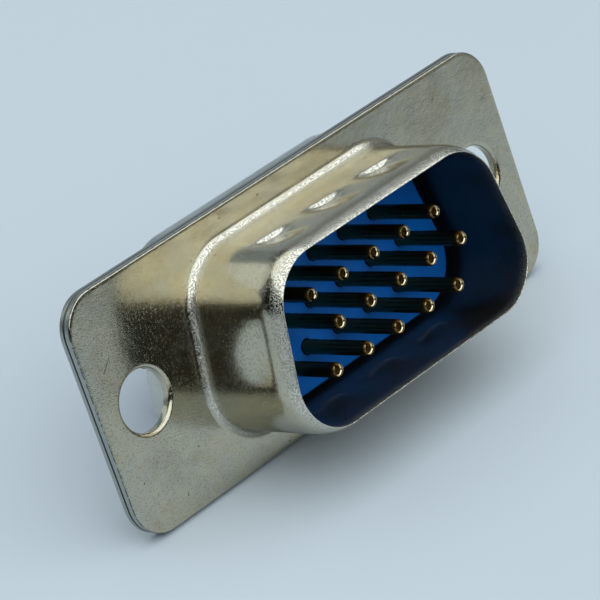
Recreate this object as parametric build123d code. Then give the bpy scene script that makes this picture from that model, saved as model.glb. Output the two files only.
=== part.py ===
from build123d import *
import math
import os

# Fifteen way high density connector with a D shaped metal shroud, for a board or a cable.
# All lengths are in millimetres.
# X runs along the flange.
# The plug mates along -Y, and the flange's front face lies at Y 0.
# Z points towards the narrow side of the D.
# The origin is the centre of the two fixing holes on the flange's front face.

# D shaped shroud, inside sizes, with its wide side towards -Z
shroud_width = 17.85
shroud_height = 8.67
shroud_corner = 2.67
side_slope = 10.0
shroud_depth = 6.00

# Front shell, one sheet drawn forward into the shroud
front_sheet = 0.40
shroud_fold = 0.40
rim_setback = 1.00
rim_taper = 0.33

# Flange outline, the same on both drawn shells
hole_offset = 3.57
flange_end = 2.91
flange_side = 1.94
flange_corner = 1.90

# Fixing holes, whose short collar on the front shell locates the rear shell
hole_radius = 1.55
hole_edge = 0.20
collar_sheet = 0.20
collar_length = 0.14
collar_gap = 0.02

# Grip dimples, pressed inwards through both long walls of the shroud
dimple_count = 3
dimple_pitch = 3.85
dimple_rim = 0.95
dimple_length = 2.50
dimple_width = 1.80
dimple_depth = 0.38
dimple_back = 0.12
dimple_side = 0.35
dimple_foot = 0.55
dimple_wall = 0.12

# Rear shell, one sheet drawn backward into a shallow D shaped cup, outside sizes
rear_sheet = 0.34
cup_side_step = 0.975
cup_long_step = 1.025
cup_corner = 2.90
cup_depth = 3.45
cup_fold = 0.45
cup_round = 0.70
cup_lip = 0.55

# Insulator, moulded in a front and a rear half that clamp the contacts
face_height = 1.00
face_edge = 0.15
front_half = 2.00
boss_height = 0.45
boss_edge = 0.15
nose_side_gap = 0.545
nose_long_gap = 0.235
nose_corner = 2.52
wall_gap = 0.08
seat_gap = 0.02

# Contacts, each rolled from one strip of gold plated bronze
pin_pitch = 2.29
row_pitch = 1.98
pins_per_row = 5
row_count = 3
contact_sheet = 0.10
pin_radius = 0.38
pin_recess = 0.70
nose_length = 0.16
nose_step = 0.05
cup_radius = 0.61
cup_reach = 3.60
cup_opening = 2.20
cup_slope = 0.55
seam_gap = 0.06
shoulder_step = 0.04
shoulder_length = 0.40
notch_width = 0.20
notch_length = 0.45
hole_gap = 0.03

# Sizes that follow from those above
hole_spacing = shroud_width + 2 * hole_offset
flange_width = hole_spacing + 2 * flange_end
flange_height = shroud_height + 2 * flange_side
rear_hole_radius = hole_radius + collar_sheet + collar_gap
cup_width = shroud_width + 2 * cup_side_step
cup_height = shroud_height + 2 * cup_long_step
shoulder_width = 2 * (cup_radius + shoulder_step)

# Depths along the mating direction, forward of the flange face above zero and behind it below
sheet_joint = -front_sheet
flange_back = sheet_joint - rear_sheet
cup_end = flange_back - cup_depth
parting = sheet_joint - front_half
shelf = cup_end + rear_sheet + seat_gap
boss_end = cup_end - boss_height
pin_tip = shroud_depth - pin_recess
contact_end = boss_end - cup_reach


def at(depth):
    """Plane square to the mating direction, with depth measured forward from the flange face."""
    return Plane.XZ.offset(depth)


def d_profile(width, height, corner, grow=0.0):
    """D outline with its wide side towards -Z, grown outward evenly by grow."""
    slope = math.radians(side_slope)
    wide = width + 2 * grow * (1 / math.cos(slope) + math.tan(slope))
    outline = Trapezoid(wide, height + 2 * grow, 90 - side_slope)
    return fillet(outline.vertices(), corner + grow)


def shroud_profile(grow=0.0):
    return d_profile(shroud_width, shroud_height, shroud_corner, grow)


def nose_profile():
    """Outline of the insulator's nose, which stands free inside the shroud."""
    width = shroud_width - 2 * nose_side_gap
    return d_profile(width, shroud_height - 2 * nose_long_gap, nose_corner)


def cup_profile(grow=0.0):
    return d_profile(cup_width, cup_height, cup_corner, grow)


def slab(profile, start, end):
    """Straight solid of a profile between two depths."""
    return extrude(at(start) * profile, amount=end - start)


def bevel_of(radius):
    """Leg of the flat bevel that touches a fold of this radius at its middle."""
    return radius * (2 - math.sqrt(2))


def circles(spots, radius):
    """Circles of one radius on several spots, as one sketch."""
    return Sketch() + [Pos(x, z) * Circle(radius) for x, z in spots]


def squares(spots, width):
    """Squares of one width on several spots, as one sketch."""
    return Sketch() + [Pos(x, z) * Rectangle(width, width) for x, z in spots]


def hole_spots():
    return [(-hole_spacing / 2, 0), (hole_spacing / 2, 0)]


def middle_edges(part, depth):
    """Edges of a part at one depth, without those of the fixing holes and the flange outline."""
    side = hole_spacing / 2 - rear_hole_radius - 0.1
    level = part.edges().filter_by_position(Axis.Y, -depth - 0.001, -depth + 0.001)
    level = level.filter_by(lambda e: abs(e.center().X) < side)
    return level.filter_by(lambda e: abs(e.center().Z) < flange_height / 2 - 0.1)


def circle_edges(part, depth, radius):
    """Round edges of one radius at one depth."""
    level = part.edges().filter_by(GeomType.CIRCLE)
    level = level.filter_by_position(Axis.Y, -depth - 0.001, -depth + 0.001)
    return level.filter_by(lambda e: abs(e.radius - radius) < 0.001)


def flange_plate(start, end, radius):
    """Flange sheet between two depths, with its two fixing holes."""
    plate = slab(RectangleRounded(flange_width, flange_height, flange_corner), start, end)
    return plate - slab(circles(hole_spots(), radius), start, end)


def dimple_tool(surface, wall=0.0):
    """Punch form that sinks into a long wall from height surface, deepest near the flange."""
    start = shroud_depth - dimple_rim - dimple_length - wall
    end = shroud_depth - dimple_rim + wall
    foot = start + dimple_back
    low = surface - dimple_depth
    half = dimple_width / 2 + wall
    along = Polyline(
        (-start, surface),
        (-foot, low),
        (-foot - dimple_foot - wall, low),
        (-end, surface),
        close=True,
    )
    across = Polyline(
        (-half, surface),
        (-half + dimple_side, low),
        (half - dimple_side, low),
        (half, surface),
        close=True,
    )
    wedge = extrude(Plane.YZ * make_face(along), amount=half, both=True)
    return wedge & extrude(Plane.XZ * make_face(across), amount=shroud_depth)


def dimple_places():
    """Place of each dimple along a long wall."""
    span = dimple_pitch * (dimple_count - 1)
    return [i * dimple_pitch - span / 2 for i in range(dimple_count)]


def front_shell():
    shell = flange_plate(sheet_joint, 0, hole_radius)
    shell += slab(shroud_profile(front_sheet), sheet_joint, shroud_depth)
    shell = fillet(middle_edges(shell, 0), shroud_fold)
    rim = shell.faces().sort_by(Axis.Y)[0]
    shell = chamfer(middle_edges(shell, shroud_depth), rim_taper, rim_setback, reference=rim)
    shell -= slab(shroud_profile(), sheet_joint, shroud_depth)
    shell = chamfer(middle_edges(shell, sheet_joint), bevel_of(shroud_fold + front_sheet))
    collar = circles(hole_spots(), hole_radius + collar_sheet) - circles(hole_spots(), hole_radius)
    shell += slab(collar, sheet_joint - collar_length, sheet_joint)
    shell = chamfer(circle_edges(shell, 0, hole_radius), hole_edge)
    wall = shroud_height / 2
    for x in dimple_places():
        bump = Pos(x, 0, 0) * dimple_tool(wall, dimple_wall)
        hollow = Pos(x, 0, 0) * dimple_tool(wall + front_sheet)
        shell += bump + mirror(bump, Plane.XY)
        shell -= hollow + mirror(hollow, Plane.XY)
    return shell


def rear_shell():
    shell = flange_plate(flange_back, sheet_joint, rear_hole_radius)
    shell += slab(cup_profile(), cup_end, sheet_joint)
    shell = chamfer(middle_edges(shell, flange_back), bevel_of(cup_fold))
    shell = fillet(middle_edges(shell, cup_end), cup_round)
    cavity = slab(cup_profile(-rear_sheet), cup_end + rear_sheet, sheet_joint)
    cavity = chamfer(middle_edges(cavity, cup_end + rear_sheet), bevel_of(cup_round - rear_sheet))
    shell -= cavity
    shell -= slab(cup_profile(-rear_sheet - cup_lip), cup_end, sheet_joint)
    return chamfer(middle_edges(shell, sheet_joint), bevel_of(cup_fold + rear_sheet))


def contact_places():
    """Number of each contact, its centre, and whether its seam faces the narrow side."""
    places = []
    shift = (0.25, -0.25, 0.25)
    for row in range(row_count):
        z = (row - (row_count - 1) / 2) * row_pitch
        for i in range(pins_per_row):
            x = ((pins_per_row - 1) / 2 - i - shift[row]) * pin_pitch
            places.append((row * pins_per_row + i + 1, x, z, row < row_count - 1))
    return places


def contact_spots():
    return [(x, z) for number, x, z, seam_up in contact_places()]


def front_insulator():
    """Front half, with a D shaped nose in the shroud and a wider body behind the front sheet."""
    seat = sheet_joint - seat_gap
    body = slab(cup_profile(-rear_sheet - wall_gap), parting, seat)
    nose = slab(nose_profile(), seat, face_height)
    nose = chamfer(middle_edges(nose, face_height), face_edge)
    body += nose
    pockets = squares(contact_spots(), shoulder_width + 2 * hole_gap)
    body -= slab(pockets, parting, parting + shoulder_length + seat_gap)
    return body - slab(circles(contact_spots(), pin_radius + hole_gap), parting, face_height)


def rear_insulator():
    """Rear half, held by the cup's lip, with a raised boss that carries the solder cups."""
    body = slab(cup_profile(-rear_sheet - wall_gap), shelf, parting)
    body = chamfer(middle_edges(body, shelf), bevel_of(cup_round - rear_sheet))
    boss = slab(cup_profile(-rear_sheet - cup_lip - wall_gap), boss_end, shelf)
    body += chamfer(middle_edges(boss, boss_end), boss_edge)
    return body - slab(circles(contact_spots(), cup_radius + hole_gap), boss_end, parting)


def contact():
    """One rolled contact along local Z, its seam towards local +Y and its cup open to -Y."""
    bore = pin_radius - contact_sheet
    well = cup_radius - contact_sheet
    outline = Polyline(
        (pin_radius - nose_step, pin_tip),
        (pin_radius, pin_tip - nose_length),
        (pin_radius, parting),
        (cup_radius, parting),
        (cup_radius, contact_end),
        (well, contact_end),
        (well, parting),
        (bore, parting),
        (bore, pin_tip),
        close=True,
    )
    tube = revolve(Plane.XZ * make_face(outline), Axis.Z)
    shoulder = Pos(0, 0, parting + shoulder_length / 2) * Box(shoulder_width, shoulder_width, shoulder_length)
    tube += shoulder - Pos(0, 0, parting + shoulder_length / 2) * Cylinder(bore, shoulder_length)
    length = pin_tip - contact_end
    middle = (pin_tip + contact_end) / 2
    tube -= Pos(0, cup_radius, middle) * Box(seam_gap, 2 * cup_radius, length)
    notch = Polyline(
        (-notch_width / 2, pin_tip),
        (notch_width / 2, pin_tip),
        (0, pin_tip - notch_length),
        close=True,
    )
    tube -= extrude(Plane.XZ * make_face(notch), amount=-pin_radius)
    scoop = Polyline(
        (0, contact_end),
        (0, contact_end + cup_opening - cup_slope),
        (-cup_radius, contact_end + cup_opening),
        (-cup_radius, contact_end),
        close=True,
    )
    return tube - extrude(Plane.YZ * make_face(scoop), amount=cup_radius, both=True)


def place(solid, x, z, seam_up):
    """Stand a contact on its spot, turned half round where its seam faces the wide side."""
    side = 1 if seam_up else -1
    return Plane((x, 0, z), x_dir=(side, 0, 0), z_dir=(0, -1, 0)) * solid


def main():
    nodes = {
        "front_shell": front_shell(),
        "rear_shell": rear_shell(),
        "front_insulator": front_insulator(),
        "rear_insulator": rear_insulator(),
    }
    rolled = contact()
    for number, x, z, seam_up in contact_places():
        nodes[f"contact_{number:02d}"] = place(rolled, x, z, seam_up)
    os.makedirs("parts", exist_ok=True)
    for name, solid in nodes.items():
        export_step(solid, f"parts/{name}.step")
        print(name, round(solid.volume, 3))


main()
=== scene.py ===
# %% [markdown]
# # A fifteen way D shaped connector in drawn metal, blue plastic and gold
#
# The real part is small: the flange is about 31 mm long. Two drawn and plated sheet metal shells
# hold a blue plastic block in two halves, and the block holds fifteen contacts, each rolled from a
# gold plated strip. The CAD model gives every place and size. This script loads it as a fixed frame
# and puts a closely made piece where each CAD solid is, because the looks of a drawn shell are in
# its folds, rounds and sheet edges, which the lean CAD solids only have as flat bevels.

# %% Load the frame
import bmesh
import bpy
import math
from mathutils import Matrix, Vector, kdtree
from mathutils.geometry import delaunay_2d_cdt


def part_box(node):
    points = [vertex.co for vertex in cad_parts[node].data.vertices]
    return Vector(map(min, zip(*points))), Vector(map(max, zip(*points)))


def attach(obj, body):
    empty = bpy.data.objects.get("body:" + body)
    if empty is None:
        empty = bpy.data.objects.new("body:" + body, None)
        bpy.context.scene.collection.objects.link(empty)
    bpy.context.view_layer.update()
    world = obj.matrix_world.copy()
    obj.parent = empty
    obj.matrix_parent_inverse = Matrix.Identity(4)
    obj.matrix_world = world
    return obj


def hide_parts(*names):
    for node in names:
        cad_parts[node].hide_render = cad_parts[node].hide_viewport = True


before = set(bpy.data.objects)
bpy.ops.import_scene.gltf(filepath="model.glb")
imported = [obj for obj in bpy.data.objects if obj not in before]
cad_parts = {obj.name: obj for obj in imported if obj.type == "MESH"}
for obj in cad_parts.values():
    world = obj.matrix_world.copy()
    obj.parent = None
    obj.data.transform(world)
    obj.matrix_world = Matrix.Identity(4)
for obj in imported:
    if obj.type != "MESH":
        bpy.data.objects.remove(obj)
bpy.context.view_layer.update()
mm = 0.001

# %% [markdown]
# ## Sizes
#
# Most sizes can be read back from the frame, because a node's box says how wide and deep the real
# piece is. What a box can't say, such as a sheet's thickness or the radius of a fold, is named here
# in millimetres. Depths run forward along the mating direction, which is -Y, from the flange face.

# %% Sizes from the frame
shell_low, shell_high = [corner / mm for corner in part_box("front_shell")]
block_low, block_high = [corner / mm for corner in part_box("front_insulator")]
pin_low, pin_high = [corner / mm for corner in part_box("contact_01")]
cup_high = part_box("rear_shell")[1] / mm
boss_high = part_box("rear_insulator")[1] / mm

flange_width = shell_high.x - shell_low.x
flange_height = shell_high.z - shell_low.z
shroud_depth = -shell_low.y
collar_end = -shell_high.y
cup_end = -cup_high.y
face_height = -block_low.y
parting = -block_high.y
boss_end = -boss_high.y
pin_tip = -pin_low.y
contact_end = -pin_high.y
print("flange", round(flange_width, 3), round(flange_height, 3), "shroud", round(shroud_depth, 3))
print("cup end", round(cup_end, 3), "boss end", round(boss_end, 3), "pin tip", round(pin_tip, 3))

# %% Sizes of the drawn sheets
front_sheet = 0.40
rear_sheet = 0.34
joint = -front_sheet
flange_back = joint - rear_sheet
shroud_width = 17.85
shroud_height = 8.67
shroud_corner = 2.67
shroud_fold = 0.40
side_slope = math.radians(10)
flange_corner = 1.90
hole_radius = 1.55
collar_sheet = 0.20
rear_hole_radius = 1.77
hole_spacing = 24.99
cup_width = 19.80
cup_height = 10.72
cup_corner = 2.90
cup_fold = 0.45
cup_round = 0.70
cup_lip = 0.55
face_round = 0.06
joint_round = 0.08
face_land = 0.22
joint_land = 0.16
back_land = 0.20
print("the two sheets are", round(-flange_back, 3), "mm thick together")

# %% Sizes of the grip dimples
dimple_pitch = 3.85
dimple_shift = 0.50
dimple_back = 2.70
dimple_front = 5.15
dimple_depth = 0.29
print("each dimple is", round(dimple_front - dimple_back, 3), "mm long")

# %% Sizes of the plastic block
wall_gap = 0.08
fit_gap = 0.02
nose_width = 16.76
nose_height = 8.20
nose_corner = 2.52
print("gap beside the block's face", round((shroud_width - nose_width) / 2, 3), "mm")

# %% Sizes of the rolled contacts
contact_sheet = 0.10
pin_radius = 0.38
cup_radius = 0.61
shoulder_half = 0.65
shoulder_length = 0.40
seam_gap = 0.06
hole_gap = 0.03
pin_pitch = 2.29
row_pitch = 1.98
print("pins", 2 * pin_radius, "mm and solder cups", 2 * cup_radius, "mm across")

# %% [markdown]
# ## One way to make every sheet and moulding
#
# A drawn shell, a moulding and a stamped hole are all the same kind of shape: an outline that is
# carried along a path of steps outward and steps in depth, with flat faces between the loops. A solid
# with bevel modifiers would be quicker, but then all its rounds would be alike, and the folds of a
# drawn sheet differ inside and outside. So one small class keeps points and faces, sweeps an outline
# along a path, and fills a flat face between loops. Each sweep starts and ends a little way into the
# flat, so that the shading of a round stops where the real round stops.

# %% Helpers for flat faces
def inside(spot, rim):
    """Whether a spot lies inside a ring of (x, z) points, by counting the sides that it passes."""
    within = False
    for (ax, az), (bx, bz) in zip(rim, rim[1:] + rim[:1]):
        if (az > spot.y) != (bz > spot.y):
            if spot.x < ax + (bx - ax) * (spot.y - az) / (bz - az):
                within = not within
    return within


def ring_edges(start, count):
    """Pairs of numbers that join count points in a ring, numbered from start."""
    return [(start + i, start + (i + 1) % count) for i in range(count)]


def clear_places(places, spots, gap):
    """The places that lie further than a gap from every spot."""
    tree = kdtree.KDTree(len(spots))
    for i, spot in enumerate(spots):
        tree.insert((spot.x, spot.y, 0), i)
    tree.balance()
    return [place for place in places if tree.find((place.x, place.y, 0))[2] > gap]


def inner_grid(spots, step):
    """Places of a square grid over some spots that keep half a step from each of them."""
    low = [min(spot[i] for spot in spots) for i in (0, 1)]
    count = [int((max(spot[i] for spot in spots) - low[i]) / step) for i in (0, 1)]
    grid = []
    for i in range(1, count[0]):
        grid += [Vector((low[0] + i * step, low[1] + j * step)) for j in range(1, count[1])]
    return clear_places(grid, spots, step / 2)


def triangulated(spots, edges):
    """Places, triangles, each triangle's middle, and the spots that each place comes from."""
    output_kind = 2
    same_spot = 1e-6
    places, _, triangles, sources, _, _ = delaunay_2d_cdt(spots, edges, [], output_kind, same_spot)
    middles = [sum((places[n] for n in triangle), Vector((0, 0))) / 3 for triangle in triangles]
    return places, triangles, middles, sources


# %% Turn the faces of a closed mesh outward
def turn_outward(mesh):
    """Turns the faces outward, and tells how many edges are open if the mesh isn't closed."""
    work = bmesh.new()
    work.from_mesh(mesh)
    bmesh.ops.recalc_face_normals(work, faces=work.faces)
    open_edges = sum(1 for edge in work.edges if len(edge.link_faces) != 2)
    if open_edges:
        print("open edges", open_edges)
    if work.calc_volume(signed=True) < 0:
        bmesh.ops.reverse_faces(work, faces=work.faces)
    work.to_mesh(mesh)
    work.free()


# %% The class that collects points and faces
class Skin:
    """Points and faces of one closed piece, in millimetres, as (x, depth, z)."""

    def __init__(self):
        self.points = []
        self.faces = []
        self.finishes = []

    def loop(self, points):
        """Adds points and returns their numbers."""
        start = len(self.points)
        self.points.extend(points)
        return list(range(start, len(self.points)))

    def bridge(self, first, second, finish):
        """Joins two loops of as many points with a band of quads."""
        for i, j in ring_edges(0, len(first)):
            self.faces.append((first[i], first[j], second[j], second[i]))
            self.finishes.append(finish)

    def sweep(self, outline, path, press=None, special=(), finish=1):
        """Carries an outline along a path of (outward, depth) and returns its first and last loop.

        The steps whose numbers are in special get another finish than the first.
        """
        loops = []
        for out, depth in path:
            ring = [(x + out * nx, depth, z + out * nz) for x, z, nx, nz in outline]
            if press:
                ring = [press(x, d, z, nz) for (x, d, z), (_, _, _, nz) in zip(ring, outline)]
            loops.append(self.loop(ring))
        for n, (first, second) in enumerate(zip(loops, loops[1:])):
            self.bridge(first, second, finish if n in special else 0)
        return loops[0], loops[-1]

    def flat_ring(self, loop):
        """The (x, z) of each point of a loop."""
        return [(self.points[i][0], self.points[i][2]) for i in loop]

    def fill(self, outer, inner, depth, step=0.0):
        """Fills the flat face between one outer loop and any inner loops, with a grid of points."""
        known = []
        edges = []
        for ring in (outer, *inner):
            edges.extend(ring_edges(len(known), len(ring)))
            known.extend(ring)
        spots = [Vector(place) for place in self.flat_ring(known)]
        if step:
            spots.extend(inner_grid(spots, step))
        places, triangles, middles, sources = triangulated(spots, edges)
        made = []
        for numbers in sources:
            old = [known[n] for n in numbers if n < len(known)]
            made.append(old[0] if old else None)
        rims = [self.flat_ring(ring) for ring in inner]
        for triangle, middle in zip(triangles, middles):
            if any(inside(middle, rim) for rim in rims):
                continue
            for n in triangle:
                if made[n] is None:
                    made[n] = len(self.points)
                    self.points.append((places[n].x, depth, places[n].y))
            self.faces.append(tuple(made[n] for n in triangle))
            self.finishes.append(0)

    def build(self, name, finishes, sharp=40):
        """Makes the object, in metres, smooth but for edges that turn more than sharp degrees."""
        mesh = bpy.data.meshes.new(name)
        place = [(x * mm, -depth * mm, z * mm) for x, depth, z in self.points]
        mesh.from_pydata(place, [], self.faces)
        for finish in finishes:
            mesh.materials.append(finish)
        mesh.polygons.foreach_set("material_index", self.finishes)
        turn_outward(mesh)
        mesh.shade_smooth()
        mesh.set_sharp_from_angle(angle=math.radians(sharp))
        piece = bpy.data.objects.new(name, mesh)
        bpy.context.collection.objects.link(piece)
        print(name, len(mesh.vertices), "points", len(mesh.polygons), "faces")
        return piece


# %% [markdown]
# ## Outlines
#
# An outline is a ring of samples, and each sample has a place and the direction that is outward
# there. Growing it by a distance then needs no offset tool: every sample moves along its own
# direction, and the corner centres stay where they are, as they do in a drawing die.

# %% Outline helpers
def spread(start, end, step):
    """Evenly spaced numbers from start up to, but not with, end."""
    count = max(1, round(abs(end - start) / step))
    return [start + (end - start) * i / count for i in range(count)]


def corner_outline(corners, step, corner_steps):
    """Outline from (centre x, centre z, radius, first angle, last angle) of each corner in turn."""
    outline = []
    for n, (cx, cz, radius, first, last) in enumerate(corners):
        for i in range(corner_steps + 1):
            angle = first + (last - first) * i / corner_steps
            nx, nz = math.cos(angle), math.sin(angle)
            outline.append((cx + radius * nx, cz + radius * nz, nx, nz))
        ahead = corners[(n + 1) % len(corners)]
        nx, nz = math.cos(last), math.sin(last)
        start = Vector((cx + radius * nx, cz + radius * nz))
        end = Vector((ahead[0] + ahead[2] * nx, ahead[1] + ahead[2] * nz))
        count = max(1, round((end - start).length / step))
        for i in range(1, count):
            spot = start.lerp(end, i / count)
            outline.append((spot.x, spot.y, nx, nz))
    return outline


def d_outline(width, height, corner, step=0.4, corner_steps=16):
    """D outline whose wide side is towards -Z, counted anticlockwise from its lower right corner."""
    slope = side_slope
    low = width / 2 - corner * (1 + math.sin(slope)) / math.cos(slope)
    top = width / 2 - height * math.tan(slope) - corner * (1 - math.sin(slope)) / math.cos(slope)
    rise = height / 2 - corner
    quarter = math.pi / 2
    return corner_outline(
        [
            (low, -rise, corner, -quarter, slope),
            (top, rise, corner, slope, quarter),
            (-top, rise, corner, quarter, math.pi - slope),
            (-low, -rise, corner, math.pi - slope, 3 * quarter),
        ],
        step,
        corner_steps,
    )


def plate_outline(width, height, corner, step=0.5, corner_steps=14):
    """Rectangle with rounded corners."""
    across, rise = width / 2 - corner, height / 2 - corner
    turns = [math.pi / 2 * n for n in range(-1, 4)]
    places = [(across, -rise), (across, rise), (-across, rise), (-across, -rise)]
    corners = [(x, z, corner, turns[n], turns[n + 1]) for n, (x, z) in enumerate(places)]
    return corner_outline(corners, step, corner_steps)


def round_outline(cx, cz, radius, count=64):
    """Circle of count samples."""
    outline = []
    for i in range(count):
        nx, nz = math.cos(2 * math.pi * i / count), math.sin(2 * math.pi * i / count)
        outline.append((cx + radius * nx, cz + radius * nz, nx, nz))
    return outline


def arc(cx, cd, radius, first, last, steps=8):
    """Path samples round a centre at (outward, depth), in degrees, 0 outward and 90 forward."""
    turns = [math.radians(first + (last - first) * i / steps) for i in range(steps + 1)]
    return [(cx + radius * math.cos(a), cd + radius * math.sin(a)) for a in turns]


print("shroud outline", len(d_outline(shroud_width, shroud_height, shroud_corner)), "samples")

# %% [markdown]
# ## A finish from nodes
#
# Each finish is a node material, so it has its detail in three dimensions and needs no picture. The
# nodes could be added one by one, but then the sums would be hard to read. So a socket is wrapped in
# a small class, and shader maths reads as plain sums. Every other node comes from one method, which
# takes the node's type, its settings and what goes into its sockets.

# %% The class that wraps a socket
class Value:
    """A node's output, which can be used in sums with numbers and other outputs."""

    def __init__(self, nodes, socket):
        self.nodes = nodes
        self.socket = socket

    def math(self, operation, *numbers):
        """One Math node on numbers and outputs."""
        return self.nodes.node("ShaderNodeMath", {"operation": operation}, dict(enumerate(numbers)))

    def __add__(self, other):
        return self.math("ADD", self, other)

    def __radd__(self, other):
        return self.math("ADD", other, self)

    def __sub__(self, other):
        return self.math("SUBTRACT", self, other)

    def __rsub__(self, other):
        return self.math("SUBTRACT", other, self)

    def __mul__(self, other):
        return self.math("MULTIPLY", self, other)

    def __rmul__(self, other):
        return self.math("MULTIPLY", other, self)

    def __abs__(self):
        return self.math("ABSOLUTE", self)


# %% The class that adds nodes
class Nodes:
    """The node tree of a material or of the world, with one method for every node."""

    def __init__(self, owner):
        owner.use_nodes = True
        self.tree = owner.node_tree

    def node(self, kind, settings, sockets, output=0):
        """Adds a node, sets its settings, then its sockets, and returns one of its outputs."""
        made = self.tree.nodes.new(kind)
        for setting, value in settings.items():
            setattr(made, setting, value)
        for name, value in sockets.items():
            self.feed(made.inputs[name], value)
        return Value(self, made.outputs[output])

    def feed(self, socket, value):
        """Links an output to a socket, or sets the socket to a number, a vector or a colour."""
        if isinstance(value, Value):
            self.tree.links.new(value.socket, socket)
        elif socket.type == "RGBA":
            socket.default_value = (*value, 1.0)
        else:
            socket.default_value = value


# %% The class that makes a finish
class Finish(Nodes):
    """A node material with its surface shader, and short names for the nodes that recur."""

    def __init__(self, name):
        self.material = bpy.data.materials.new(name)
        super().__init__(self.material)
        self.surface = self.tree.nodes["Principled BSDF"]
        self.place = self.node("ShaderNodeTexCoord", {}, {}, "Object")
        self.depth = self.axis("Y") * -1.0

    def stretched(self, stretch=(1, 1, 1), shift=(0, 0, 0)):
        """The place on the object in millimetres, stretched and shifted."""
        scale = tuple(s / mm for s in stretch)
        sockets = {"Vector": self.place, "Scale": scale, "Location": shift}
        return self.node("ShaderNodeMapping", {}, sockets)

    def axis(self, axis):
        """One coordinate of the place on the object, in millimetres."""
        return self.node("ShaderNodeSeparateXYZ", {}, {"Vector": self.stretched()}, axis)

    def noise(self, scale, detail=2.0, roughness=0.5, stretch=(1, 1, 1), shift=(0, 0, 0)):
        """Noise with features of about 1 / scale millimetres."""
        where = self.stretched(stretch, shift)
        sockets = {"Vector": where, "Scale": scale, "Detail": detail, "Roughness": roughness}
        return self.node("ShaderNodeTexNoise", {}, sockets)

    def between(self, value, empty, full):
        """0 where a value is at empty or beyond, 1 at full or beyond, and smooth between."""
        sockets = {"Value": value, "From Min": empty, "From Max": full}
        return self.node("ShaderNodeMapRange", {"interpolation_type": "SMOOTHSTEP"}, sockets)

    def mix(self, factor, first, second):
        """First colour at factor 0 and second colour at 1."""
        sockets = {0: factor, 6: first, 7: second}
        return self.node("ShaderNodeMix", {"data_type": "RGBA"}, sockets, 2)

    def bump(self, height, distance, under=None):
        """A normal from a height of distance millimetres, laid over another normal."""
        sockets = {"Height": height, "Distance": distance * mm, "Strength": 1.0}
        if under:
            sockets["Normal"] = under
        return self.node("ShaderNodeBump", {}, sockets)

    def paint(self, **sockets):
        """Sets sockets of the surface shader, with the name's spaces written as underlines."""
        for name, value in sockets.items():
            self.feed(self.surface.inputs[name.replace("_", " ")], value)
        return self.material


# %% [markdown]
# ## Plating on the drawn shells
#
# The shells are steel with a satin nickel plate, warm and a little olive beside the cool floor. Close
# up, every highlight breaks into grains. Smooth metal would look like chrome, and a picture of
# plating would stretch over the folds, so the skin is made of noises of several sizes under the
# normal. Where the press stretched the sheet most, at the fold, in the dimples and near the rim, the
# grains are coarser and they glitter, and spots among them are painted dark as painted shade. Pits,
# dark specks, brown clouds, two scratches and a grey smudge are the marks of making and handling, and
# a dark line beside each dimple is painted shade of its crease. The same plate is painted darker
# inside the shroud, as painted shade, and is rougher there; on the rear shell it is colder and has
# more specks.

# %% Spots and lines
def speckles(finish, scale, size, shift=(0, 0, 0)):
    """Small round spots, 1 inside and 0 outside, at about one for each cell of 1 / scale mm."""
    sockets = {"Vector": finish.stretched(shift=shift), "Scale": scale}
    cells = finish.node("ShaderNodeTexVoronoi", {"feature": "F1"}, sockets, "Distance")
    return finish.between(cells, size, size * 0.7)


def stroke(finish, first, second, start, end, width):
    """A thin line from start to end on a face whose two coordinates are first and second."""
    length = math.dist(start, end)
    ux, uz = (end[0] - start[0]) / length, (end[1] - start[1]) / length
    along = (first - start[0]) * ux + (second - start[1]) * uz
    across = abs((first - start[0]) * uz - (second - start[1]) * ux)
    ends = finish.between(along, -0.02, 0.06) * finish.between(along, length, length * 0.6)
    return finish.between(across, width, width * 0.4) * ends


# %% Places and marks of the shells, where a pair of numbers is where a mark is empty and full
long_scratch = ((-14.3, 2.28), (-13.49, 3.02), 0.035)
short_scratch = ((-12.08, -5.34), (-11.95, -5.12), 0.05)
# painted shade: a thin dark line where each dimple's crease runs
dimple_crease_shade = ((0.42, 2.96), (1.40, 3.02), 0.045)
smudge_across = -12.95
smudge_rise = -3.8
face_front = (0.05, 0.02)
face_back = (-0.1, -0.05)
rim_zone = (5.15, 5.85)
fold_top = (0.8, 0.3)
fold_foot = (0.01, 0.09)
dimple_sides = (1.2, 0.9)
dimple_start = (2.5, 2.7)
dimple_end = (3.4, 3.1)
dimple_reach = (5.9, 5.7)
crease_shade_reach = (6.2, 6.0)
wall_rise = (4.2, 4.3)


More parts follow.
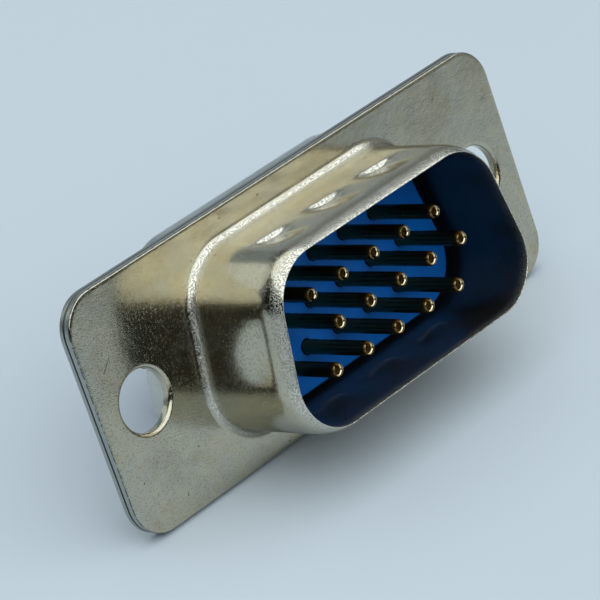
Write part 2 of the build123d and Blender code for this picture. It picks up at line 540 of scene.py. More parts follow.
class ShellFinish(Finish):
    """A finish that knows where the flat face, the worked places and the marks of a shell are."""

    def __init__(self, name):
        super().__init__(name)
        self.across = self.axis("X")
        self.rise = self.axis("Z")
        half_pitch = dimple_pitch / 2
        sockets = {0: self.across, 1: half_pitch, 2: -half_pitch}
        self.side = self.node("ShaderNodeMath", {"operation": "WRAP"}, sockets)
        self.flat = self.between(self.depth, *face_front) * self.between(self.depth, *face_back)

    def worked(self):
        """1 where the press stretched the sheet: near the rim, at the fold and in the dimples."""
        rim = self.between(self.depth, *rim_zone)
        fold = self.between(self.depth, *fold_top) * self.between(self.depth, *fold_foot)
        pressed = self.between(abs(self.side + dimple_shift), *dimple_sides)
        pressed = pressed * self.between(self.depth, *dimple_start)
        pressed = pressed * self.between(self.depth, *dimple_end)
        return rim + fold + pressed * self.between(abs(self.across), *dimple_reach)

    def dark_lines(self):
        """Two scratches on the flat face, and a painted shade line for the crease beside each dimple."""
        scratches = stroke(self, self.across, self.rise, *long_scratch)
        scratches = scratches + stroke(self, self.across, self.rise, *short_scratch)
        # painted shade line of the crease beside each dimple
        crease = stroke(self, self.side, self.depth, *dimple_crease_shade)
        crease = crease * self.between(abs(self.rise), *wall_rise)
        return scratches * self.flat + crease * self.between(abs(self.across), *crease_shade_reach)

    def smudge(self):
        """A patchy grey smudge on the flat face, below one hole."""
        off = abs(self.across - smudge_across) + abs(self.rise - smudge_rise) * 0.9
        patches = self.between(self.noise(2.4, 3.0, 0.6), 0.50, 0.66)
        return self.between(off, 2.2, 0.6) * patches * self.flat


# %% Skin of the plate
def nickel_skin(finish, worked, glitter):
    """The normal of the plate: grains and pits over drawn streaks, orange peel and slow waves."""
    grains = finish.between(finish.noise(16.0, 1.0, 0.6), 0.49, 0.64)
    pits = speckles(finish, 6.5, 0.30, shift=(2, 7, 1)) * (1 - worked)
    fine = finish.bump(grains * 0.26 + glitter * 3.4 + pits * 0.9, 0.0040)
    streaks = finish.noise(2.6, 2.0, 0.5, stretch=(1, 0.12, 1), shift=(4, 0, 1))
    lines = finish.bump(streaks * finish.between(finish.depth, 0.1, 0.6), 0.0035, under=fine)
    peel = finish.bump(finish.noise(3.0, 2.0, 0.5, shift=(6, 2, 9)), 0.0045, under=lines)
    return finish.bump(finish.noise(0.5, 1.0, 0.5, shift=(5, 5, 5)), 0.015, under=peel)


# %% Nickel plate
warm_tones = ((0.53, 0.49, 0.365), (0.49, 0.475, 0.385), (0.42, 0.35, 0.22))
cold_tones = ((0.60, 0.62, 0.57), (0.58, 0.61, 0.60), (0.45, 0.43, 0.37))
burnished = (0.84, 0.83, 0.76)
# painted shade: the dark colour put on some grains in the worked places, for the shade between them
painted_grain_shade = (0.16, 0.15, 0.11)
speck_brown = (0.08, 0.07, 0.06)
# dark brown of the real scratches, also used as painted shade for the crease lines
scratch_and_crease_shade_brown = (0.09, 0.08, 0.06)
smudge_grey = (0.42, 0.45, 0.47)
few_specks = (0.9, 0.055)
many_specks = (2.4, 0.09)


def nickel_plate(name, tones=warm_tones, shade_and_dullness=0.0, specks=few_specks):
    """Satin nickel of two tones and a tarnish; a darkening above 0 makes the rougher copy with painted
    shade for inside the shroud.
    """
    finish = ShellFinish(name)
    # painted shade: for the inside of the shroud, every tone is darkened
    tones = [tuple(part * (1 - shade_and_dullness) for part in tone) for tone in (*tones, burnished, painted_grain_shade)]
    first, second, brown, bright, grain_shade = tones
    worked, smudge = finish.worked(), finish.smudge()
    clouds = finish.noise(0.6, 3.0, 0.55, shift=(3, 1, 7))
    tarnish = finish.between(finish.noise(0.35, 4.0, 0.6, shift=(8, 2, 4)), 0.48, 0.72)
    mottle = finish.between(finish.noise(1.9, 4.0, 0.65, shift=(1, 3, 3)), 0.45, 0.70)
    glitter = finish.between(finish.noise(12.0, 1.0, 0.6, shift=(7, 7, 7)), 0.48, 0.62) * worked
    colour = finish.mix(finish.between(clouds, 0.35, 0.65), first, second)
    colour = finish.mix(tarnish * 0.35, colour, brown)
    colour = finish.mix(mottle * 0.28, colour, brown)
    colour = finish.mix(speckles(finish, *specks) * 0.8, colour, speck_brown)
    colour = finish.mix(worked * 0.6, colour, bright)
    # painted shade between the glittering grains
    colour = finish.mix(glitter * 0.45, colour, grain_shade)
    # real scratches, and the painted shade line of each dimple's crease
    colour = finish.mix(finish.dark_lines() * 0.75, colour, scratch_and_crease_shade_brown)
    colour = finish.mix(smudge * 0.4, colour, smudge_grey)
    rough = 0.12 + shade_and_dullness * 0.3 + clouds * 0.04 + tarnish * 0.05 + smudge * 0.06 + worked * 0.05
    skin = nickel_skin(finish, worked, glitter)
    return finish.paint(Base_Color=colour, Metallic=1.0, Roughness=rough, Normal=skin)


shell_plate = nickel_plate("nickel_plate")
# the inside of the shroud: the same plate, rougher and darkened as painted shade
shaded_inner_plate = nickel_plate("nickel_inside_shaded", shade_and_dullness=0.66)
cup_plate = nickel_plate("nickel_cup", cold_tones, specks=many_specks)
print("made", shell_plate.name, shaded_inner_plate.name, cup_plate.name)

# %% [markdown]
# ## Sheared edge of the sheets
#
# Where the press cut the sheet, the edge has a smooth band and a torn band, and the plate over it is
# duller, with fine lines across the thickness. The line where the two sheets meet is dark, and a
# broken dark burr runs near the front corner. Both are only a few hundredths of a millimetre deep,
# too little to model, so they are painted at their own depth.

# %% Sheared edge
edge_tones = ((0.40, 0.42, 0.40), (0.31, 0.33, 0.31))
burr_brown = (0.07, 0.065, 0.05)
seam_brown = (0.03, 0.03, 0.025)
seam_zone = (0.075, 0.045)
burr_zone = (-0.11, -0.07)


def sheared_edge():
    """Dull plate with lines across the thickness, a dark seam between the sheets and a burr."""
    finish = Finish("sheared_edge")
    lines = finish.noise(6.0, 3.0, 0.6, stretch=(1, 0.15, 1))
    grain = finish.noise(14.0, 2.0, 0.6)
    seam = finish.between(abs(finish.depth - joint), *seam_zone)
    burr = finish.between(finish.noise(3.5, 2.0, 0.6, shift=(2, 2, 2)), 0.42, 0.52)
    burr = burr * finish.between(finish.depth, *burr_zone)
    colour = finish.mix(lines, *edge_tones)
    colour = finish.mix(burr * 0.85, colour, burr_brown)
    colour = finish.mix(seam * 0.9, colour, seam_brown)
    rough = 0.24 + lines * 0.16
    marks = finish.bump(lines + grain * 0.5, 0.008)
    return finish.paint(Base_Color=colour, Metallic=1.0, Roughness=rough, Normal=marks)


cut_edge = sheared_edge()
print("made", cut_edge.name)

# %% [markdown]
# ## Front shell
#
# One sheet is drawn forward into the shroud that guides the plug. The fold at its foot is round on
# both faces, the mouth is drawn in a little and ends in a sharp inner edge, and three grip dimples
# are pressed through each long wall. Each dimple is steep on the flange side and runs out towards
# the rim. The shape could be cut from a solid, but a sweep gives even quads, which the reflections
# of a drawn sheet need, and the dimples press both faces of the sheet at once.

# %% Dimple shape
dimple_half = 0.92
right_power = 4.5
left_power = 2.4
start_length = 0.24
dish_depth = 0.09
dish_half_width = 1.35
dish_half_length = 1.3
dish_middle = 3.6
straight_up = 0.999
press_low = 1.0
rim_free = 0.05


def ease(value, low, high):
    """0 below low, 1 above high, and smooth between."""
    t = min(1.0, max(0.0, (value - low) / (high - low)))
    return t * t * (3 - 2 * t)


def dimple_press(x, depth):
    """How far the wall is pressed in at one spot of a long wall: a steep stroke in a shallow dish."""
    total = 0.0
    for centre in (-dimple_pitch, 0.0, dimple_pitch):
        side = x - centre + dimple_shift
        start = dimple_back - 0.10 + 0.05 * side
        along = ease(depth, start, start + start_length)
        along *= (1 - ease(depth, start + 0.16, dimple_front)) ** 2.0
        across = math.exp(-abs(side / dimple_half) ** (right_power if side > 0 else left_power))
        dish_across, dish_along = (x - centre) / dish_half_width, (depth - dish_middle) / dish_half_length
        dish = math.exp(-dish_across ** 2 - dish_along ** 2)
        total += (dimple_depth - dish_depth) * along * across + dish_depth * dish
    return total


def press_wall(x, depth, z, nz):
    """Moves a point of a long wall inwards where a dimple is pressed."""
    on_long_wall = abs(nz) > straight_up
    if not on_long_wall or depth < press_low or depth > shroud_depth - rim_free:
        return (x, depth, z)
    return (x, depth, z - math.copysign(dimple_press(x, depth), nz))


print("deepest press", round(max(dimple_press(0, 2 + i * 0.05) for i in range(60)), 3))

# %% Path of the shroud's wall
rim_sweep = 2.90
rim_turn = 28
rim_land = 0.015
rim_start = shroud_depth - rim_land - rim_sweep * math.sin(math.radians(rim_turn))
fold_land = 0.06
above_fold = 0.1
below_rim = 0.3
rim_bevel = 0.045
rim_edge = 0.020
rim_corner = 0.03
press_from = 2.3
press_steep = 3.0
press_to = 5.4
plain_step = 0.35
steep_step = 0.035
slope_step = 0.08


def wall_depths(low, high):
    """Depths up a shroud wall, close together where the dimples are."""
    steps = spread(low, press_from, plain_step) + spread(press_from, press_steep, steep_step)
    steps += spread(press_steep, press_to, slope_step)
    return [d for d in steps if d < high - 0.03] + [high]


def shroud_path():
    """Path up the outside and down the inside of the shroud, and the number of its first inner step."""
    fold = shroud_fold + front_sheet
    path = [(fold + fold_land, 0.0)] + arc(fold, shroud_fold, shroud_fold, -90, -180, 10)
    path += [(front_sheet, d) for d in wall_depths(shroud_fold + above_fold, rim_start)[:-1]]
    path += arc(front_sheet - rim_sweep, rim_start, rim_sweep, 0, rim_turn, 18)
    path += [(rim_bevel, shroud_depth), (rim_edge, shroud_depth), (0.0, shroud_depth - rim_corner)]
    inner_start = len(path) - 1
    inner_depths = wall_depths(shroud_fold, press_to) + [press_to + below_rim]
    path += [(0.0, d) for d in reversed(inner_depths)]
    path += arc(fold, shroud_fold, fold, 180, 270, 8)[1:] + [(fold + fold_land, joint)]
    return path, inner_start


print("shroud wall", len(shroud_path()[0]), "loops")

# %% Front shell mesh
collar_round = 0.20
end_round = 0.04
collar_land = 0.05
plate_step = 0.35
wall_step = 0.09
fine_corner = 18
cut_steps = range(3, 11)


def collar_path():
    """Path into a flange hole, down its drawn collar and back up the outside of the collar."""
    path = [(collar_round + fold_land, 0.0)] + arc(collar_round, -collar_round, collar_round, 90, 180, 7)
    path += [(0.0, collar_end + end_round)] + arc(end_round, collar_end + end_round, end_round, 180, 270, 3)
    path += [(collar_sheet, collar_end), (collar_sheet, joint)]
    return path + [(collar_sheet + collar_land, joint)]


def front_shell_mesh():
    """Flange and shroud as one sheet, with the sheared finish on the flange's edge."""
    skin = Skin()
    plate = plate_outline(flange_width, flange_height, flange_corner, plate_step)
    edge = [(-face_land, 0.0)] + arc(-face_round, -face_round, face_round, 90, 0, 4)
    edge += [(0.0, joint + joint_round)]
    edge += arc(-joint_round, joint + joint_round, joint_round, 0, -90, 4)
    edge += [(-joint_land, joint)]
    front_edge, back_edge = skin.sweep(plate, edge, special=cut_steps, finish=2)
    outline = d_outline(shroud_width, shroud_height, shroud_corner, wall_step, fine_corner)
    path, inner_start = shroud_path()
    foot, root = skin.sweep(outline, path, press_wall, range(inner_start, len(path)))
    holes = []
    for side in (-1, 1):
        ring = round_outline(side * hole_spacing / 2, 0, hole_radius)
        holes.append(skin.sweep(ring, collar_path()))
    skin.fill(front_edge, [foot, *[mouth for mouth, end in holes]], 0.0, step=0.5)
    skin.fill(back_edge, [root, *[end for mouth, end in holes]], joint, step=1.0)
    return skin


front_shell = front_shell_mesh().build("front_shell_drawn", [shell_plate, shaded_inner_plate, cut_edge])
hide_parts("front_shell")
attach(front_shell, "root")

# %% [markdown]
# ## Rear shell
#
# The second sheet lies behind the first and is drawn backward into a shallow cup, whose turned in lip
# holds the plastic block. From the front only its flange edge and a strip of its cup show, but it is
# seen whole from behind, so it is swept with the same care as the front one.

# %% Path of the cup
lip_round = 0.06
lip_bevel = 0.03
cup_land = 0.05
cup_loops = (-3.0, -2.4, -1.8)


def cup_path():
    """Path down the inside of the cup, round its turned in lip and up the outside."""
    inner_fold = cup_fold + rear_sheet
    foot = joint - inner_fold
    lip = -rear_sheet - cup_lip
    shelf = cup_end + rear_sheet
    path = [(cup_fold + cup_land, joint)] + arc(cup_fold, foot, inner_fold, 90, 180, 8)
    path += arc(-cup_round, cup_end + cup_round, cup_round - rear_sheet, 0, -90, 6)
    path += [(lip + lip_bevel, shelf), (lip, shelf - lip_bevel), (lip, cup_end + lip_round)]
    path += arc(lip + lip_round, cup_end + lip_round, lip_round, 180, 270, 3)
    path += arc(-cup_round, cup_end + cup_round, cup_round, -90, 0, 9)
    path += [(0.0, depth) for depth in cup_loops]
    return path + arc(cup_fold, foot, cup_fold, 180, 90, 7) + [(cup_fold + cup_land, flange_back)]


print("cup wall", len(cup_path()), "loops")

# %% Rear shell mesh
cup_step = 0.4
rear_cut_steps = range(0, 7)


def rear_shell_mesh():
    """Flange and cup as one sheet, with plain round holes for the collars of the front shell."""
    skin = Skin()
    plate = plate_outline(flange_width, flange_height, flange_corner, plate_step)
    edge = [(-joint_land, joint)] + arc(-joint_round, joint - joint_round, joint_round, 90, 0, 4)
    edge += [(0.0, flange_back + face_round)]
    edge += arc(-face_round, flange_back + face_round, face_round, 0, -90, 4)
    edge += [(-back_land, flange_back)]
    front_edge, back_edge = skin.sweep(plate, edge, special=rear_cut_steps)
    outline = d_outline(cup_width, cup_height, cup_corner, cup_step, fine_corner)
    opening, root = skin.sweep(outline, cup_path())
    holes = []
    for side in (-1, 1):
        ring = round_outline(side * hole_spacing / 2, 0, rear_hole_radius)
        barrel = [(0.06, joint), (0.02, joint), (0.0, joint - 0.02), (0.0, flange_back + 0.04)]
        barrel += [(0.04, flange_back), (0.10, flange_back)]
        holes.append(skin.sweep(ring, barrel))
    skin.fill(front_edge, [opening, *[mouth for mouth, end in holes]], joint, step=1.0)
    skin.fill(back_edge, [root, *[end for mouth, end in holes]], flange_back, step=0.6)
    return skin


rear_shell = rear_shell_mesh().build("rear_shell_drawn", [cup_plate, cut_edge])
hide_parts("rear_shell")
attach(rear_shell, "root")

# %% [markdown]
# ## Blue plastic block
#
# The block is moulded in two halves that meet behind the flange. The plastic is a strong blue with a
# soft gloss from the mould, faint flow clouds and a very fine texture. A box with cut holes would have
# knife edges, so each hole is swept with a small lead in, and the edge of the face is rounded.

# %% Blue plastic
blues = ((0.001, 0.13, 0.55), (0.001, 0.16, 0.64))


def blue_plastic():
    """Moulded plastic with a soft gloss, in two close blues."""
    finish = Finish("blue_plastic")
    flow = finish.noise(0.45, 3.0, 0.55, shift=(2, 9, 4))
    texture = finish.noise(16.0, 2.0, 0.5)
    colour = finish.mix(finish.between(flow, 0.3, 0.7), *blues)
    rough = 0.32 + flow * 0.12
    skin = finish.bump(texture, 0.004)
    return finish.paint(Base_Color=colour, Roughness=rough, Normal=skin, Specular_IOR_Level=0.25)


plastic = blue_plastic()
print("made", plastic.name)

# %% Places of the contacts
row_shift = (0.25, -0.25, 0.25)
contacts_in_row = 5


def contact_spots():
    """Number, x and z of each contact, and 1 where its seam faces the narrow side, else -1."""
    spots = []
    for row, shift in enumerate(row_shift):
        for i in range(contacts_in_row):
            x = (2 - i - shift) * pin_pitch
            side = 1 if row < 2 else -1
            spots.append((row * contacts_in_row + i + 1, x, (row - 1) * row_pitch, side))
    return spots


print("contacts", len(contact_spots()))

# %% Front half of the block
nose_round = 0.15
nose_land = 0.05
nose_side_loop = 0.4
lead_in = ((0.05, 0.0), (0.015, 0.0), (0.005, -0.01), (0.0, -0.03))
body_inset = -rear_sheet - wall_gap
body_land = 0.1
pin_bore_sides = 32


def block_outline(width, height, corner):
    """D outline for a moulding, with fewer samples than a sheet's."""
    return d_outline(width, height, corner, 0.5, 14)


def square_outline(cx, cz, half, corner=0.08):
    """Square with rounded corners round a spot."""
    plate = plate_outline(2 * half, 2 * half, corner, 1.0, 3)
    return [(x + cx, z + cz, nx, nz) for x, z, nx, nz in plate]


def front_insulator_mesh():
    """Nose and body, with a bore and a square pocket for each contact."""
    skin = Skin()
    seat = joint - fit_gap
    path = [(-nose_round - nose_land, face_height)]
    path += arc(-nose_round, face_height - nose_round, nose_round, 90, 0, 6)
    path += [(0.0, nose_side_loop), (0.0, seat)]
    face, nose_foot = skin.sweep(block_outline(nose_width, nose_height, nose_corner), path)
    path = [(body_inset - body_land, seat), (body_inset, seat)]
    path += [(body_inset, parting), (body_inset - body_land, parting)]
    shoulder, back = skin.sweep(block_outline(cup_width, cup_height, cup_corner), path)
    skin.fill(shoulder, [nose_foot], seat)
    pocket_floor = parting + shoulder_length + fit_gap
    barrel = [(out, face_height + step) for out, step in lead_in] + [(0.0, pocket_floor)]
    fronts = []
    backs = []
    for _, x, z, _ in contact_spots():
        mouth, end = skin.sweep(round_outline(x, z, pin_radius + hole_gap, pin_bore_sides), barrel)
        pocket = square_outline(x, z, shoulder_half + hole_gap)
        first, last = skin.sweep(pocket, [(0.0, pocket_floor), (0.0, parting)])
        skin.fill(first, [end], pocket_floor)
        fronts.append(mouth)
        backs.append(last)
    skin.fill(face, fronts, face_height, step=0.8)
    skin.fill(back, backs, parting)
    return skin


front_insulator = front_insulator_mesh().build("front_insulator_moulded", [plastic])
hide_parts("front_insulator")
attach(front_insulator, "root")

# %% Rear half of the block
boss_round = 0.15
boss_land = 0.07
cup_bore_sides = 40


def rear_insulator_mesh():
    """Body and boss, with a round bore for each solder cup."""
    skin = Skin()
    shelf = cup_end + rear_sheet + fit_gap
    turn = cup_round - rear_sheet
    path = [(body_inset - body_land, parting), (body_inset, parting), (body_inset, shelf + turn)]
    path += arc(body_inset - turn, shelf + turn, turn, 0, -90, 5)[1:]
    boss = body_inset - cup_lip
    path += [(boss, shelf), (boss, boss_end + boss_round)]
    path += arc(boss - boss_round, boss_end + boss_round, boss_round, 0, -90, 5)[1:]
    path += [(boss - boss_round - boss_land, boss_end)]
    front, back = skin.sweep(block_outline(cup_width, cup_height, cup_corner), path)
    barrel = [(0.0, parting), (0.0, boss_end + 0.10), (0.03, boss_end + 0.03), (0.09, boss_end)]
    mouths = []
    ends = []
    for _, x, z, _ in contact_spots():
        mouth, end = skin.sweep(round_outline(x, z, cup_radius + hole_gap, cup_bore_sides), barrel)
        mouths.append(mouth)
        ends.append(end)
    skin.fill(front, mouths, parting)
    skin.fill(back, ends, boss_end, step=0.8)
    return skin


rear_insulator = rear_insulator_mesh().build("rear_insulator_moulded", [plastic])
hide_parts("rear_insulator")
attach(rear_insulator, "root")

# %% [markdown]
# ## Gold on the contacts
#
# The contacts are bronze with a thin gold plate. Rolling leaves fine lines along them. The outside is
# painted deep and dark, as painted shade of the shroud round it, and a little brighter near the tip.
# Inside, the plate is paler, and the bevel of the mouth is burnished and the brightest of all. One
# finish with masks would do, but the inside and the outside are 0.1 mm apart, so three finishes given
# to the faces keep the borders sharp.

# %% Gold plate
worn_part = 0.82
tip_zone = (pin_tip - 0.12, pin_tip - 0.42)


def gold_plate(name, tip, shaft, rough):
    """Gold over bronze, with its colour near the tip and its colour down the shaft."""
    finish = Finish(name)
    lines = finish.noise(10.0, 3.0, 0.6, stretch=(1, 0.12, 1))
    clouds = finish.noise(2.0, 2.0, 0.5, shift=(1, 4, 2))
    worn_tip, worn_shaft = [tuple(worn_part * part for part in colour) for colour in (tip, shaft)]
    down = finish.between(finish.depth, *tip_zone)
    colour = finish.mix(down, finish.mix(clouds, tip, worn_tip), finish.mix(clouds, shaft, worn_shaft))
    marks = finish.bump(lines, 0.0015)
    return finish.paint(Base_Color=colour, Metallic=1.0, Roughness=rough + lines * 0.10, Normal=marks)


# painted shade: the outside gold is made much darker than the same gold inside
shaded_outer_gold = gold_plate("gold_plate", tip=(0.35, 0.245, 0.105), shaft=(0.23, 0.15, 0.05), rough=0.20)
inner_gold = gold_plate("gold_inside", tip=(0.80, 0.56, 0.24), shaft=(0.70, 0.47, 0.19), rough=0.45)
mouth_gold = gold_plate("gold_tip", tip=(0.86, 0.77, 0.54), shaft=(0.80, 0.56, 0.24), rough=0.14)
print("made", shaded_outer_gold.name, inner_gold.name, mouth_gold.name)

# %% [markdown]
# ## Rolled contacts
#
# Each contact starts as a flat strip that is rolled round a mandrel until its two edges meet in a
# seam. A turned tube would have no seam, so it is made here the real way: the flat outline of the
# strip, with its notched tip, its vent hole and its scooped end, is filled with small triangles, and
# then every point is rolled to the radius of the contact at its depth. The inside face is the same
# sheet, one thickness deeper, and opens in a bevel at the mouth.

# %% Sizes of the tip, the vent and the scoop
tip_length = 0.30
tip_step = 0.075
tip_power = 2.4
mouth_radius = 0.285
throat_radius = 0.225
throat_below = 0.17
bore_below = 0.6
groove_size = 0.022
groove_below = 0.08
bright_below = 0.19
shoulder_flat = 0.25
shoulder_square = 0.28
corner_reach = 1.25
notch_width = 0.36
notch_length = 0.50
vent_radius = 0.11
vent_depth = pin_tip - 2.15
vent_points = 14
scoop_top = contact_end + 1.65
scoop_slope = 0.55
print("vent", round(vent_depth, 3), "mm and tip", round(pin_tip, 3), "mm before the flange face")

# %% How the strip is rolled
def barrel_radius(depth):
    """Outside radius of the rolled strip at a depth."""
    if depth >= pin_tip - tip_length:
        t = (depth - pin_tip + tip_length) / tip_length
        return pin_radius - tip_step * t ** tip_power
    if depth >= parting + shoulder_length:
        return pin_radius
    if depth >= parting:
        t = ease(depth, parting + shoulder_flat, parting + shoulder_length)
        return shoulder_half + (pin_radius - shoulder_half) * t
    return cup_radius


def bore_radius(depth):
    """Inside radius, which opens in a bevel at the mouth and is tightest a little below it."""
    t = ease(depth, parting, parting + shoulder_length)
    plain = (cup_radius + (pin_radius - cup_radius) * t) - contact_sheet
    below = pin_tip - depth
    if below > bore_below:
        return plain
    if below > throat_below:
        return throat_radius + (plain - throat_radius) * ease(below, throat_below, bore_below)
    groove = groove_size * math.exp(-((below - groove_below) / groove_size) ** 2)
    return mouth_radius + (throat_radius - mouth_radius) * below / throat_below + groove


def rolled(turn, depth, outside):
    """Place of a strip point that is rolled by an angle from the side opposite the seam."""
    radius = barrel_radius(depth) if outside else bore_radius(depth)
    if outside and parting <= depth < parting + shoulder_square:
        lean = max(abs(math.cos(turn)), abs(math.sin(turn)))
        radius = min(radius / lean, radius * corner_reach)
    return (radius * math.sin(turn), depth, -radius * math.cos(turn))


print("throat of the bore", round(2 * bore_radius(pin_tip - throat_below), 3), "mm across")

# %% Flat outline of the strip, laid out at a rolling radius
roll = 0.40


def strip_edge(depth):
    """Half the strip's width at a depth, which leaves the seam open by its gap."""
    return (math.pi - math.asin(seam_gap / 2 / max(pin_radius, barrel_radius(depth)))) * roll


def strip_outline():
    """Outline of the flat strip, with turns as x at the rolling radius and depth as y."""
    quarter = math.pi / 2 * roll
    foot = strip_edge(contact_end)
    right = [(foot, contact_end + 0.12), (foot - 0.06, contact_end + 0.02), (foot - 0.14, contact_end)]
    right += [(quarter + 0.08, contact_end), (quarter + 0.02, contact_end + 0.05)]
    right += [(quarter, contact_end + 0.15)]
    right += [(quarter, d) for d in spread(contact_end + 0.6, scoop_top, 0.3)]
    turns = [math.pi / 2 * (1 - i / 12) for i in range(13)]
    scoop = [(a * roll, scoop_top + scoop_slope * math.cos(a)) for a in turns]
    up = [(strip_edge(d), d) for d in spread(contact_end + 0.5, pin_tip - notch_length, 0.25)]
    shaft = strip_edge(pin_tip)
    notch = [(shaft, pin_tip - notch_length), (shaft - notch_width * 0.30, pin_tip - 0.16)]
    notch += [(shaft - notch_width * 0.42, pin_tip - 0.05), (shaft - notch_width * 0.62, pin_tip)]
    top = [(shaft - notch_width * 0.62 - 0.10 * i, pin_tip) for i in range(1, 10)]
    half = [p for p in scoop[::-1] + right[::-1] + up + notch + top if p[0] > 0.001]
    left = [(-x, d) for x, d in reversed(half)]
    return [(0.0, scoop_top + scoop_slope)] + half + [(0.0, pin_tip)] + left


def strip_grid():
    """Inner points of the strip, in rows at the depths where its shape changes."""
    bends = [
        (contact_end + 0.3, parting - 0.05, 0.32),
        (parting - 0.05, parting + 0.5, 0.06),
        (parting + 0.5, vent_depth - 0.4, 0.5),
        (vent_depth - 0.4, vent_depth + 0.4, 0.08),
        (vent_depth + 0.4, pin_tip - 0.6, 0.35),
        (pin_tip - 0.6, pin_tip - 0.18, 0.06),
    ]
    depths = [d for low, high, step in bends for d in spread(low, high, step)]
    depths += spread(pin_tip - 0.18, pin_tip, 0.02)[:-1]
    turns = [(-1 + 2 * i / 30) * 0.93 * math.pi for i in range(31)]
    return [Vector((a * roll, d)) for d in depths for a in turns]


print("strip outline", len(strip_outline()), "points")

# %% The flat strip in small triangles
strip_gap = 0.018


def flat_strip():
    """Places and triangles of the flat strip, without its vent hole."""
    outline = strip_outline()
    turns = [2 * math.pi * i / vent_points for i in range(vent_points)]
    vent = [(vent_radius * math.cos(a), vent_depth + vent_radius * math.sin(a)) for a in turns]
    spots = [Vector(p) for p in outline + vent]
    edges = ring_edges(0, len(outline))
    edges += [(len(outline) + a, len(outline) + b) for a, b in ring_edges(0, len(vent))]
    spots += clear_places(strip_grid(), spots, strip_gap)
    places, triangles, middles, _ = triangulated(spots, edges)
    kept = []
    for triangle, middle in zip(triangles, middles):
        if inside(middle, outline) and not inside(middle, vent):
            kept.append(triangle)
    used = sorted({n for triangle in kept for n in triangle})
    number = {n: i for i, n in enumerate(used)}
    return [places[n] for n in used], [[number[n] for n in triangle] for triangle in kept]


strip_places, strip_triangles = flat_strip()
print("strip", len(strip_places), "places", len(strip_triangles), "triangles")

# %% Rolled contact meshes
def contact_mesh(side, cx, cz):
    """One contact, rolled on its spot. Side is 1 where the seam faces the narrow side, else -1."""
    skin = Skin()
    layers = []
    for outside in (True, False):
        ring = []
        for place in strip_places:
            x, depth, z = rolled(place.x / roll, place.y, outside)
            ring.append((cx + side * x, depth, cz + side * z))
        layers.append(skin.loop(ring))
    outer, inner = layers
    links = []
    for a, b, c in strip_triangles:
        skin.faces.append((outer[a], outer[b], outer[c]))
        skin.faces.append((inner[c], inner[b], inner[a]))
        links += [(a, b), (b, c), (c, a)]
    both_ways = set(links)
    for a, b in links:
        if (b, a) not in both_ways:
            skin.faces.append((outer[b], outer[a], inner[a], inner[b]))
    inner_points = set(inner)
    for face in skin.faces:
        deep = max(skin.points[n][1] for n in face) < pin_tip - bright_below
        skin.finishes.append((1 if deep else 2) if inner_points.issuperset(face) else 0)
    return skin


for number, x, z, side in contact_spots():
    name = f"contact_{number:02d}"
    skin = contact_mesh(side, x, z)
    piece = skin.build(name + "_rolled", [shaded_outer_gold, inner_gold, mouth_gold], sharp=32)
    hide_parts(name)
    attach(piece, "root")

# %% [markdown]
# ## Floor, light and camera
#
# The connector lies tipped back on the edge of its flange and the round of its cup, so the floor is
# a plane that leans against the frame. It shows from above only and fades out far off, so it hides
# nothing in a view from behind or below. One large soft lamp hangs over the front, and three weak ones
# fill the back, the right side and the low front, where polished nickel would else be black. The room
# is nearly black too, because the dark zones of a polished sheet are what it mirrors of the room, and
# only the camera sees the room as pale as the floor.

# %% Floor finish
lean = math.radians(17.7)
floor_up = Vector((0, -math.sin(lean), math.cos(lean)))
floor_colours = ((0.48, 0.545, 0.60), (0.51, 0.575, 0.63))
fade_forward = (480.0, 200.0)
fade_aside = (800.0, 450.0)


def lowest_point():
    """How far the CAD model reaches along the floor's downward direction."""
    points = [v.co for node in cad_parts.values() for v in node.data.vertices]
    return min(point.dot(floor_up) for point in points)


def pale_floor():
    """Pale matt floor that fades out far off, and can't be seen from below."""
    finish = Finish("pale_floor")
    colour = finish.mix(finish.noise(0.02, 2.0, 0.5), *floor_colours)
    underside = finish.node("ShaderNodeNewGeometry", {}, {}, "Backfacing")
    near = finish.between(finish.depth, *fade_forward)
    near = near * finish.between(abs(finish.axis("X")), *fade_aside)
    shown = (1.0 - underside) * near
    return finish.paint(Base_Color=colour, Roughness=0.7, Specular_IOR_Level=0.2, Alpha=shown)


print("floor lies", round(lowest_point() / mm, 3), "mm along its own up direction")

# %% Floor
floor_half = 0.9
sweep_start = 0.26
sweep_radius = 0.26
sweep_height = 0.50
sweep_steps = 16


def floor_sweep(name, material):
    """A flat floor that bends up at the back, as a studio backdrop does, in metres."""
    along = Vector((0, math.cos(lean), math.sin(lean)))
    base = floor_up * lowest_point()
    line = [(-floor_half, 0.0), (sweep_start, 0.0)]
    for i in range(1, sweep_steps + 1):
        turn = math.pi / 2 * i / sweep_steps
        line.append((sweep_start + sweep_radius * math.sin(turn), sweep_radius * (1 - math.cos(turn))))
    line.append((sweep_start + sweep_radius, sweep_height))
    points = []
    for side in (-floor_half, floor_half):
        points += [base + Vector((side, 0, 0)) + along * far + floor_up * rise for far, rise in line]
    count = len(line)
    faces = [(i, count + i, count + i + 1, i + 1) for i in range(count - 1)]
    mesh = bpy.data.meshes.new(name)
    mesh.from_pydata(points, [], faces)
    mesh.shade_smooth()
    mesh.materials.append(material)
    floor = bpy.data.objects.new(name, mesh)
    bpy.context.collection.objects.link(floor)
    print(name, len(faces), "faces")


floor_sweep("floor", pale_floor())

# %% Lamps
def soft_lamp(name, direction, distance, size, power, colour):
    """A round soft lamp that faces the object from a direction, with distances in metres."""
    lamp = bpy.data.lights.new(name, "AREA")
    lamp.shape = "DISK"
    lamp.size = size
    lamp.energy = power
    lamp.color = colour
    holder = bpy.data.objects.new(name, lamp)
    towards = Vector(direction).normalized()
    holder.location = towards * distance
    holder.rotation_mode = "QUATERNION"
    holder.rotation_quaternion = towards.to_track_quat("Z", "Y")
    bpy.context.collection.objects.link(holder)
    print(name, power, "W")


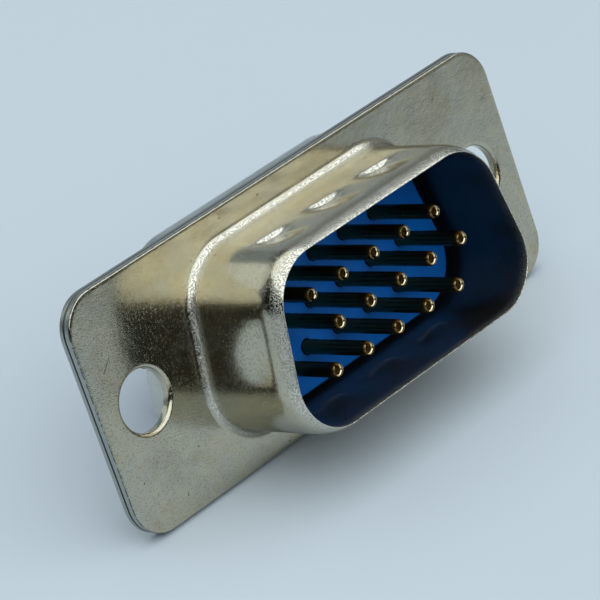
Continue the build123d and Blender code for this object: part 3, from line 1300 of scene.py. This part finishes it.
soft_lamp("key_lamp", (0.0, -0.47, 0.88), 0.30, size=0.86, power=3.1, colour=(0.92, 0.975, 1.0))
soft_lamp("back_lamp", (-0.25, 0.66, 0.60), 0.5, size=0.34, power=0.17, colour=(0.94, 1.0, 0.96))
soft_lamp("side_lamp", (0.66, 0.46, 0.52), 0.5, size=0.40, power=0.075, colour=(0.86, 0.95, 1.0))
soft_lamp("front_lamp", (0.70, -0.62, 0.14), 0.5, size=0.36, power=0.10, colour=(0.96, 0.99, 1.0))

# %% Room
room_dark = (0.012, 0.012, 0.010)
room_pale = (0.53, 0.65, 0.74)


def dark_room(name):
    """A world that lights with one colour and shows the camera another."""
    world = bpy.data.worlds.new(name)
    nodes = Nodes(world)
    dark = nodes.tree.nodes["Background"]
    nodes.feed(dark.inputs["Color"], room_dark)
    pale = nodes.node("ShaderNodeBackground", {}, {"Color": room_pale})
    seen = nodes.node("ShaderNodeLightPath", {}, {}, "Is Camera Ray")
    sockets = {0: seen, 1: Value(nodes, dark.outputs[0]), 2: pale}
    choice = nodes.node("ShaderNodeMixShader", {}, sockets)
    nodes.feed(nodes.tree.nodes["World Output"].inputs["Surface"], choice)
    return world


bpy.context.scene.world = dark_room("room")
print("world", bpy.context.scene.world.name)

# %% Camera
camera_place = Vector((-0.112282, -0.130001, 0.056243))
camera_right = Vector((0.65144, -0.69111, -0.31304))
camera_up = Vector((0.44295, 0.01146, 0.89648))
focal_length = 221.2
sensor_width = 36


def photo_camera():
    """A camera at the photograph's viewing angle, squared up from its right and up directions."""
    lens = bpy.data.cameras.new("camera")
    lens.lens = focal_length
    lens.sensor_width = sensor_width
    lens.clip_start = 0.01
    lens.clip_end = 10
    camera = bpy.data.objects.new("camera", lens)
    back = camera_right.cross(camera_up).normalized()
    up = back.cross(camera_right).normalized()
    turn = Matrix((camera_right.normalized(), up, back)).transposed()
    camera.matrix_world = Matrix.Translation(camera_place) @ turn.to_4x4()
    bpy.context.collection.objects.link(camera)
    return camera


bpy.context.scene.camera = photo_camera()
bpy.context.scene.view_settings.view_transform = "Standard"
print("camera", round(camera_place.length / mm, 1), "mm from the middle of the flange")
